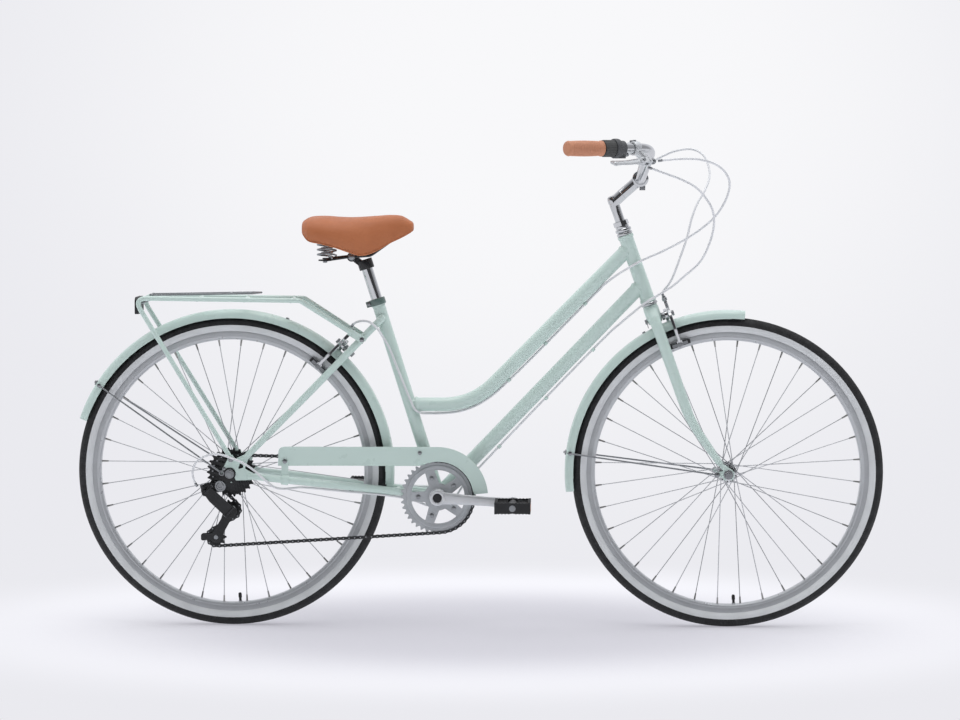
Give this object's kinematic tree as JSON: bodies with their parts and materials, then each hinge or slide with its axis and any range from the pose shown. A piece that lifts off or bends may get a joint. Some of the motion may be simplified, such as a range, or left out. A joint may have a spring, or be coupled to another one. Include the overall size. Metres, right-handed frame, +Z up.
{
  "type": "bicycle",
  "caption": "Step-through city bicycle with swept handlebar, sprung saddle, mudguards, rear rack with clip, chainguard, caliper brakes and rear derailleur.",
  "frame": {"origin": "on the ground under the middle of the wheelbase, in the bicycle's middle plane", "axes": "+X forward, +Y to the rider's left, +Z up"},
  "size_m": [1.813, 0.6248, 1.0971],
  "materials": {
    "frame_paint": "satin pale green paint",
    "guard_paint": "satin pale green paint",
    "chrome": "polished",
    "alloy": "brushed",
    "steel": "plated, satin",
    "dark_steel": "oiled dark steel",
    "black_plastic": "matte",
    "rubber": "matte",
    "tyre": "black tread with cream sidewalls",
    "saddle_cover": "satin tan cover",
    "grip": "tan, matte",
    "cable_housing": "pale grey, satin"
  },
  "bodies": {
    "main_frame": {"frame": "frame_paint", "seat_clamp": "frame_paint", "bottom_bracket_cartridge": "steel", "headset_lower_cup": "chrome", "headset_upper_cup": "chrome", "rear_mudguard": "guard_paint", "rear_rack": "guard_paint", "chainguard": "guard_paint", "rear_axle": "steel", "chain": "dark_steel", "derailleur_body": "black_plastic", "rear_brake_cable": "cable_housing", "shift_cable": "cable_housing"},
    "front_assembly": {"fork": "frame_paint", "headset_locknut": "chrome", "stem": "chrome", "handlebar": "chrome", "grip_left": "grip", "grip_right": "grip", "lever_bracket_left": "alloy", "lever_bracket_right": "alloy", "shifter_housing": "black_plastic", "front_mudguard": "guard_paint", "front_axle": "steel", "front_brake_cable": "cable_housing"},
    "front_wheel": {"front_tyre": "tyre", "front_rim": "alloy", "front_spokes_left": "steel", "front_spokes_right": "steel", "front_hub": "alloy"},
    "rear_wheel": {"rear_tyre": "tyre", "rear_rim": "alloy", "rear_spokes_left": "steel", "rear_spokes_right": "steel", "rear_hub": "alloy"},
    "freewheel_body": {"freewheel": "dark_steel"},
    "crankset": {"crank_spindle": "steel", "right_crank": "alloy", "chainring": "steel", "left_crank": "alloy"},
    "right_pedal_body": {"pedal_right": "black_plastic"},
    "left_pedal_body": {"pedal_left": "black_plastic"},
    "right_lever": {"brake_lever_right": "alloy"},
    "left_lever": {"brake_lever_left": "alloy"},
    "front_right_arm": {"front_brake_arm_right": "alloy"},
    "front_left_arm": {"front_brake_arm_left": "alloy"},
    "rear_right_arm": {"rear_brake_arm_right": "alloy"},
    "rear_left_arm": {"rear_brake_arm_left": "alloy"},
    "shifter_sleeve": {"shifter_twist_grip": "rubber"},
    "derailleur_link": {"derailleur_links": "black_plastic"},
    "lower_knuckle": {"derailleur_knuckle": "black_plastic"},
    "cage": {"derailleur_cage": "dark_steel"},
    "upper_jockey": {"jockey_upper": "black_plastic"},
    "lower_jockey": {"jockey_lower": "black_plastic"},
    "seatpost_body": {"seatpost": "chrome", "saddle_rails": "dark_steel", "saddle_spring_left": "steel", "saddle_spring_right": "steel"},
    "saddle_top": {"saddle_cushion": "saddle_cover"},
    "rack_clip": {"rack_spring_clip": "steel"}
  },
  "joints": [
    {"name": "steering", "type": "hinge", "parent": "main_frame", "child": "front_assembly", "pos_m": [0.38204, 0, 0.72404], "axis": [-0.3338, 0, 0.9426], "range_deg": [-60, 60], "deforming": ["rear_brake_cable", "shift_cable"]},
    {"name": "front_wheel_spin", "type": "hinge", "parent": "front_assembly", "child": "front_wheel", "pos_m": [0.5575, 0, 0.349], "axis": [0, 1, 0], "continuous": true},
    {"name": "rear_wheel_spin", "type": "hinge", "parent": "main_frame", "child": "rear_wheel", "pos_m": [-0.5575, 0, 0.349], "axis": [0, 1, 0], "continuous": true},
    {"name": "freewheel_spin", "type": "hinge", "parent": "main_frame", "child": "freewheel_body", "pos_m": [-0.5575, 0, 0.349], "axis": [0, 1, 0], "continuous": true},
    {"name": "crank_spin", "type": "hinge", "parent": "main_frame", "child": "crankset", "pos_m": [-0.0921, 0, 0.2965], "axis": [0, 1, 0], "continuous": true},
    {"name": "right_pedal_spin", "type": "hinge", "parent": "crankset", "child": "right_pedal_body", "pos_m": [0.07758, -0.135, 0.28612], "axis": [0, 1, 0], "continuous": true},
    {"name": "left_pedal_spin", "type": "hinge", "parent": "crankset", "child": "left_pedal_body", "pos_m": [-0.26178, 0.135, 0.30688], "axis": [0, 1, 0], "continuous": true},
    {"name": "right_brake_lever_pull", "type": "hinge", "parent": "front_assembly", "child": "right_lever", "pos_m": [0.36052, -0.21922, 1.0476], "axis": [-0.4055, 0.5793, -0.7071], "range_deg": [0, 12], "stiffness_Nm_per_rad": 2, "springref_deg": -5.73},
    {"name": "left_brake_lever_pull", "type": "hinge", "parent": "front_assembly", "child": "left_lever", "pos_m": [0.36052, 0.21922, 1.0476], "axis": [0.4055, 0.5793, 0.7071], "range_deg": [0, 12], "stiffness_Nm_per_rad": 2, "springref_deg": -5.73},
    {"name": "front_right_arm_close", "type": "hinge", "parent": "front_assembly", "child": "front_right_arm", "pos_m": [0.39289, 0, 0.69341], "axis": [0.9426, 0, 0.3338], "range_deg": [0, 1.5]},
    {"name": "front_left_arm_close", "type": "hinge", "parent": "front_assembly", "child": "front_left_arm", "pos_m": [0.39289, 0, 0.69341], "axis": [0.9426, 0, 0.3338], "range_deg": [-1.5, 0]},
    {"name": "rear_right_arm_close", "type": "hinge", "parent": "main_frame", "child": "rear_right_arm", "pos_m": [-0.29323, 0, 0.61927], "axis": [-0.715, 0, 0.6991], "range_deg": [-1.5, 0]},
    {"name": "rear_left_arm_close", "type": "hinge", "parent": "main_frame", "child": "rear_left_arm", "pos_m": [-0.29323, 0, 0.61927], "axis": [-0.715, 0, 0.6991], "range_deg": [0, 1.5]},
    {"name": "shifter_twist", "type": "hinge", "parent": "front_assembly", "child": "shifter_sleeve", "pos_m": [0.28384, -0.23871, 1.0756], "axis": [0.8192, 0.5735, 0], "range_deg": [-60, 60]},
    {"name": "derailleur_link_swing", "type": "hinge", "parent": "main_frame", "child": "derailleur_link", "pos_m": [-0.6057, -0.082, 0.3133], "axis": [0.6967, 0, 0.7173], "range_deg": [-12.5, 12.5], "deforming": ["chain"]},
    {"name": "derailleur_knuckle_turn", "type": "hinge", "parent": "derailleur_link", "child": "lower_knuckle", "pos_m": [-0.557, -0.082, 0.266], "axis": [0.6967, 0, 0.7173], "range_deg": [-12.5, 12.5], "deforming": ["chain"]},
    {"name": "derailleur_cage_swing", "type": "hinge", "parent": "lower_knuckle", "child": "cage", "pos_m": [-0.557, -0.045, 0.266], "axis": [0, 1, 0], "range_deg": [-25, 20], "stiffness_Nm_per_rad": 1, "deforming": ["chain"]},
    {"name": "upper_jockey_spin", "type": "hinge", "parent": "cage", "child": "upper_jockey", "pos_m": [-0.557, -0.045, 0.266], "axis": [0, 1, 0], "continuous": true},
    {"name": "lower_jockey_spin", "type": "hinge", "parent": "cage", "child": "lower_jockey", "pos_m": [-0.5908, -0.045, 0.2043], "axis": [0, 1, 0], "continuous": true},
    {"name": "seatpost_height", "type": "slide", "parent": "main_frame", "child": "seatpost_body", "axis": [-0.3007, 0, 0.9537], "range_m": [-0.06, 0.1]},
    {"name": "saddle_flex", "type": "hinge", "parent": "seatpost_body", "child": "saddle_top", "pos_m": [-0.176, 0, 0.885], "axis": [0, -1, 0], "range_deg": [0, 3.4], "stiffness_Nm_per_rad": 1500, "springref_deg": -0.17, "deforming": ["saddle_spring_left", "saddle_spring_right"]},
    {"name": "rack_clip_open", "type": "hinge", "parent": "main_frame", "child": "rack_clip", "pos_m": [-0.738, 0, 0.7474], "axis": [0, -1, 0], "range_deg": [0, 60], "stiffness_Nm_per_rad": 0.6, "springref_deg": -34.38}
  ],
  "couplings": [
    {"joint": "freewheel_spin", "follows": "rear_wheel_spin", "ratio": 1},
    {"joint": "crank_spin", "follows": "rear_wheel_spin", "ratio": 0.5},
    {"joint": "upper_jockey_spin", "follows": "rear_wheel_spin", "ratio": -2},
    {"joint": "lower_jockey_spin", "follows": "rear_wheel_spin", "ratio": 2},
    {"joint": "front_right_arm_close", "follows": "left_brake_lever_pull", "ratio": 0.125},
    {"joint": "front_left_arm_close", "follows": "left_brake_lever_pull", "ratio": -0.125},
    {"joint": "rear_right_arm_close", "follows": "right_brake_lever_pull", "ratio": -0.125},
    {"joint": "rear_left_arm_close", "follows": "right_brake_lever_pull", "ratio": 0.125},
    {"joint": "derailleur_link_swing", "follows": "shifter_twist", "ratio": 0.20833},
    {"joint": "derailleur_knuckle_turn", "follows": "shifter_twist", "ratio": -0.20833}
  ]
}
